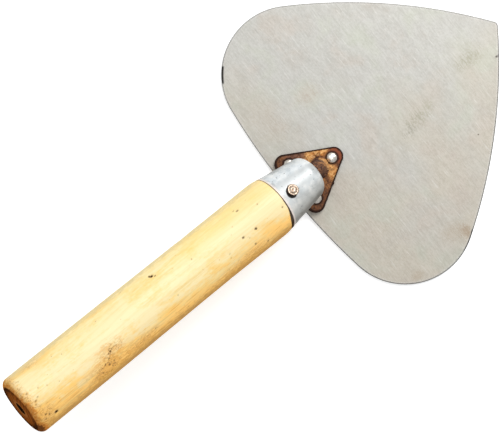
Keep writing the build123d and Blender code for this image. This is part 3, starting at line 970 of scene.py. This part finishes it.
# ---------------- ferrule rivet
# A ringed head above and a small peened tail below, in (height over the ferrule, radius).
PIN_TAIL = [(1.25, 0.2), (1.22, 0.9), (1.02, 1.7), (0.6, 2.3), (0.15, 2.48), (-0.45, 2.4)]
PIN_HEAD = [(-0.6, 2.85), (0.1, 3.02), (0.75, 3.1), (1.05, 3.08), (1.28, 2.95), (1.44, 2.68)]
PIN_HEAD += [(1.5, 2.4), (1.46, 2.15), (1.4, 1.98), (1.46, 1.8), (1.62, 1.6), (1.78, 1.3)]
PIN_HEAD += [(1.87, 1.0), (1.86, 0.75), (1.76, 0.55), (1.7, 0.32), (1.68, 0.1)]
HEAD_TILT = 0.13
HEAD_SHIFT = 0.6  # to the right

pin_profile = [(-PIN_SEAT - up, radius) for up, radius in PIN_TAIL] + [(-PIN_SEAT + 0.75, PIN_SHANK)]
pin_profile += line((-PIN_SEAT + 0.8, PIN_SHANK), (PIN_SEAT - 0.8, PIN_SHANK), 2.0)
pin_profile += [(PIN_SEAT - 0.75, PIN_SHANK)] + [(PIN_SEAT + up, radius) for up, radius in PIN_HEAD]
grid, normals = turned(pin_profile, 72, closed=False)
beaten = 0.07 * fractal(grid, 1.5, 103, 3) + 0.05 * fractal(grid, 3.0, 107, 2)
on_head = smoothstep(PIN_SEAT - 0.2, PIN_SEAT + 0.5, np.abs(grid[..., 0]))
grid = grid + normals * (beaten * on_head)[..., None]
# The upper head was hammered over to one side, so its rear edge stands clear of the ferrule.
upper = smoothstep(PIN_SEAT - 0.5, PIN_SEAT + 0.3, grid[..., 0])
grid[..., 0] += upper * (HEAD_TILT * grid[..., 1] + 0.05)
grid[..., 2] += upper * HEAD_SHIFT
# Dirt lies in the head's groove and middle; painted shade darkens both heads' feet and the upper head's rear
# wall.
reach = np.hypot(grid[..., 1], grid[..., 2] - HEAD_SHIFT * upper)
groove = (np.exp(-(((reach - 2.0) / 0.22) ** 2)) + 0.7 * np.exp(-((reach / 0.45) ** 2))) * upper
skirt = smoothstep(PIN_SEAT + 1.0, PIN_SEAT + 0.4, grid[..., 0] - HEAD_TILT * grid[..., 1])
skirt *= smoothstep(-PIN_SEAT - 0.25, -PIN_SEAT + 0.15, grid[..., 0])
wall = smoothstep(2.6, 2.95, reach) * smoothstep(-0.4, 0.9, grid[..., 1]) * upper
pin_dirt_and_shade = np.clip(0.75 * groove + skirt + wall, 0, 1) * on_head
pin_place = Matrix((RISE, BACK, -LEFT)).transposed().to_4x4()
pin_place.translation = NOSE + BACK * PIN * MM
piece = skin("ferrule_rivet_beaten", grid, pin_place, False, {"dirt_and_shade": pin_dirt_and_shade})
pin_metal = bright_steel(
    "pin_steel", (0.56, 0.455, 0.365), (0.27, 0.17, 0.105), (0.025, 0.012, 0.008), 0.42
)
place(piece, "ferrule_rivet", pin_metal)

# ---------------- handle
# The turned grip's line: (along, radius)
GRIP_LINE = [(GRIP_START, 15.7), (75.0, 15.55), (135.0, 15.78), (GRIP_END - BUTT_ROUND, GRIP_RADIUS)]
# Pits that can be made out: (along, degrees round the grip, half width, depth, how dark)
PITS = [
    (104.5, 46.5, 0.42, 0.4, 1.0),
    (103.5, 50.0, 0.62, 0.5, 1.0),
    (102.4, 54.0, 0.36, 0.3, 1.0),
    (48, 105, 0.55, 0.4, 0.95),
    (56, 103, 0.5, 0.35, 0.9),
    (52, 129, 0.45, 0.3, 0.7),
    (45, 144, 0.5, 0.3, 0.7),
    (49, 56, 0.5, 0.3, 0.7),
    (50.5, 51, 0.35, 0.25, 0.6),
    (57, 75, 0.3, 0.2, 0.5),
    (30, 105, 0.35, 0.25, 0.7),
    (100, 110, 0.35, 0.2, 0.5),
    (142.2, 109.5, 0.36, 0.3, 0.9),
    (143.4, 111.5, 0.40, 0.4, 1.0),
    (144.8, 113.5, 0.32, 0.3, 0.9),
    (146, 121, 0.35, 0.3, 0.8),
    (149, 127, 0.35, 0.3, 0.8),
    (147, 133, 0.4, 0.3, 0.8),
    (152, 138, 0.4, 0.3, 0.8),
    (181, 139, 0.7, 0.5, 1.0),
    (186, 128, 0.5, 0.35, 0.8),
    (186.5, 97, 0.5, 0.35, 0.8),
    (187.4, 102, 0.45, 0.3, 0.7),
    (187.8, 77, 0.4, 0.3, 0.6),
    (184.5, 133, 0.4, 0.3, 0.8),
    (187, 137, 0.45, 0.3, 0.8),
    (172, 96, 0.4, 0.25, 0.4),
]
PIT_RADIUS = 15.6  # how far from the axis a pit's middle lies


def grip_radius(along):
    """The turned grip's radius, easing from one point of its line to the next."""
    k = int(np.clip(np.searchsorted([a for a, _ in GRIP_LINE], along) - 1, 0, 2))
    (a0, r0), (a1, r1) = GRIP_LINE[k], GRIP_LINE[k + 1]
    return r0 + (r1 - r0) * float(smoothstep(a0, a1, np.array(along)))


def spigot(along):
    """A point of the spigot, which fits in the ferrule."""
    inside = FERRULE_REAR - (FERRULE_LENGTH - along) * CONE - FERRULE_WALL / math.cos(FLANK)
    return along, inside - 0.05


def scattered_pits():
    """Small dark pits, most of them near the butt, then wide shallow dents."""
    dice = np.random.default_rng(2024)
    pits = []
    for _ in range(70):
        towards_butt = dice.random() < 0.55
        along = GRIP_END - 3 - abs(dice.normal(0, 9)) if towards_butt else dice.uniform(34, 186)
        pits.append((along, *[dice.uniform(*r) for r in ((0, 360), (0.22, 0.5), (0.1, 0.25), (0.2, 0.6))]))
    for _ in range(26):
        pits.append((*[dice.uniform(*r) for r in ((34, 186), (0, 360), (1.2, 3.2), (0.06, 0.16))], 0.0))
    return pits


ease = 23.0  # the radius by which the shoulder eases into the grip
ease_from = 90 + math.degrees(math.asin(5.5 / ease))
chin = 14.6  # the grip's radius at the ferrule
first = spigot(SPIGOT_START)
butt_face = GRIP_RADIUS - BUTT_ROUND
wood = line((SPIGOT_START, TANG_HOLE), (SPIGOT_START, first[1] - 1.2), 1.5)
wood += line((SPIGOT_START, first[1] - 1.2), spigot(SPIGOT_START + 1.2), 0.8)
wood += line(spigot(SPIGOT_START + 1.2), spigot(SHOULDER), 2.0)
wood += line(spigot(SHOULDER), (SHOULDER, chin), 0.3)
wood += arc((SHOULDER + 0.45, chin), 0.45, 180, 104, 5)
wood += arc((GRIP_START, GRIP_LINE[0][1] - ease), ease, ease_from, 90, 14)[:-1]
wood += [(a, grip_radius(a)) for a in np.arange(GRIP_START, GRIP_END - BUTT_ROUND, 0.52)]
wood += arc((GRIP_END - BUTT_ROUND, butt_face), BUTT_ROUND, 90, 0, 16)[:-1]
end_first = len(wood)
wood += line((GRIP_END, butt_face), (GRIP_END, HANGING_HOLE + 0.4), 0.45)
wood += arc((GRIP_END - 0.4, HANGING_HOLE + 0.4), 0.4, 0, -90, 4)
end_last = len(wood)
wood += line((GRIP_END - 0.9, HANGING_HOLE), (GRIP_END - 12, HANGING_HOLE), 0.8)
wood += line((GRIP_END - 12, HANGING_HOLE), (TANG_END + 0.5, HANGING_HOLE), 6.0)
wood += line((TANG_END + 0.5, HANGING_HOLE), (30, TANG_HOLE), 8.0)
wood += line((30, TANG_HOLE), (SPIGOT_START, TANG_HOLE), 3.0)
grid, normals = turned(wood, 240)

along = grid[..., 0]
radius = off_axis(grid)
outside = smoothstep(10.0, 13.0, radius) * smoothstep(SHOULDER, SHOULDER + 1.0, along)
end_face = np.zeros((len(grid), 1))
end_face[end_first:end_last] = 1
lean = 0.10 * fractal(grid, 26.0, 131, 2, (2.2, 1, 1))
fibre = 0.020 * fractal(grid, 0.9, 137, 3, (16, 1, 1))
fibre += 0.03 * fractal(grid, 3.2, 139, 2, (7, 1, 1))
saw = 0.05 * fractal(grid, 1.1, 149, 3, (1, 3, 1))
relief = (lean + fibre) * outside - 0.12 * outside + saw * end_face - 0.05 * end_face
ragged = lattice_noise(grid, 1.1, 163)
pit_mask = np.zeros(along.shape)
for pit_along, degrees, reach, depth, dark in PITS + scattered_pits():
    reach *= 1 + 0.25 * (dark > 0.55)  # the darkest are wider, and all are longer along the grain
    left, up = spoke(PIT_RADIUS, degrees)
    across = (grid[..., 1] - left) ** 2 + (grid[..., 2] - up) ** 2
    away = ((along - pit_along) / (1.3 * reach)) ** 2 + across / reach**2
    hollow = np.exp(-away * (1 + 0.55 * ragged)) * outside
    relief -= depth * hollow
    pit_mask = np.maximum(pit_mask, dark * smoothstep(0.3, 0.62, hollow))
chips = np.clip(fractal(grid, 2.4, 151, 3) - 0.35, 0, 1)
relief -= 0.5 * chips * smoothstep(GRIP_END - 4.5, GRIP_END - 2.0, along) * outside
grid = grid + normals * relief[..., None]

# The end grain shows on the butt's face and in the hanging hole, whose mouth is painted dark as shade.
end_mask = np.broadcast_to(end_face, along.shape).copy()
end_mask[end_first - 2 : end_first] = np.array([[0.25], [0.7]])
end_mask[end_last:] = np.where(along[end_last:] > 60, 1.0, 0.0)
# Painted shade: the hole's mouth is darkened through the pit mask.
hole_dark = smoothstep(4.6, 3.3, radius) * (along > GRIP_END - 2)
pit_mask = np.maximum(pit_mask, hole_dark * 0.9)
piece = skin("handle_turned", grid, HANDLE_FRAME, True, {"pit": pit_mask, "end": end_mask})
place(piece, "handle", handle_wood())

# ---------------- floor
floor_mesh = bpy.data.meshes.new("floor")
floor_mesh.from_pydata([(-4, -4, 0), (4, -4, 0), (4, 4, 0), (-4, 4, 0)], [], [(0, 1, 2, 3)])
floor = new_object("floor", floor_mesh)
floor.location.z = -0.0004
floor_material, _, floor_shader = new_material("pale_floor")
floor_looks = {"Base Color": (0.74, 0.74, 0.74, 1.0), "Roughness": 0.9, "Specular IOR Level": 0.1}
floor_glow = {"Emission Color": (1.0, 1.0, 1.0, 1.0), "Emission Strength": 0.5}
feed(floor_shader, {**floor_looks, **floor_glow})
floor_mesh.materials.append(floor_material)


# ---------------- light and camera
def aim(thing, place_at, target):
    """Puts a lamp or camera somewhere, looking at a target, with the photograph's up."""
    forward = (target - place_at).normalized()
    right = forward.cross(UP).normalized()
    turned_to = Matrix((right, right.cross(forward), -forward)).transposed().to_4x4()
    thing.matrix_world = Matrix.Translation(place_at) @ turned_to


def soft_light(name, place_at, size, power, colour):
    data = bpy.data.lights.new(name, "AREA")
    data.shape = "SQUARE"
    data.size = size
    data.energy = power
    data.color = colour
    aim(new_object(name, data), place_at, Vector((-0.03, 0, 0)))


soft_light("key", Vector((0.85, 0.30, 0.95)), 0.6, 15.0, (1.0, 0.995, 0.98))
soft_light("top", Vector((-0.05, 0.25, 1.7)), 1.4, 8.0, (0.97, 0.985, 1.0))

world = bpy.data.worlds.new("studio")
world.use_nodes = True
feed(world.node_tree.nodes["Background"], {"Color": (0.95, 0.97, 1.0, 1.0), "Strength": 0.5})
bpy.context.scene.world = world
bpy.context.scene.view_settings.view_transform = "Standard"

camera_data = bpy.data.cameras.new("camera")
camera_data.lens = 139.4
camera_data.sensor_width = 36.0
camera_data.sensor_fit = "HORIZONTAL"
camera_data.clip_start = 0.01
camera = new_object("camera", camera_data)
aim(camera, Vector((-39.05, -11.6, 1000.0)) * MM, Vector((-39.75, 3.0, 0.0)) * MM)
bpy.context.scene.camera = camera
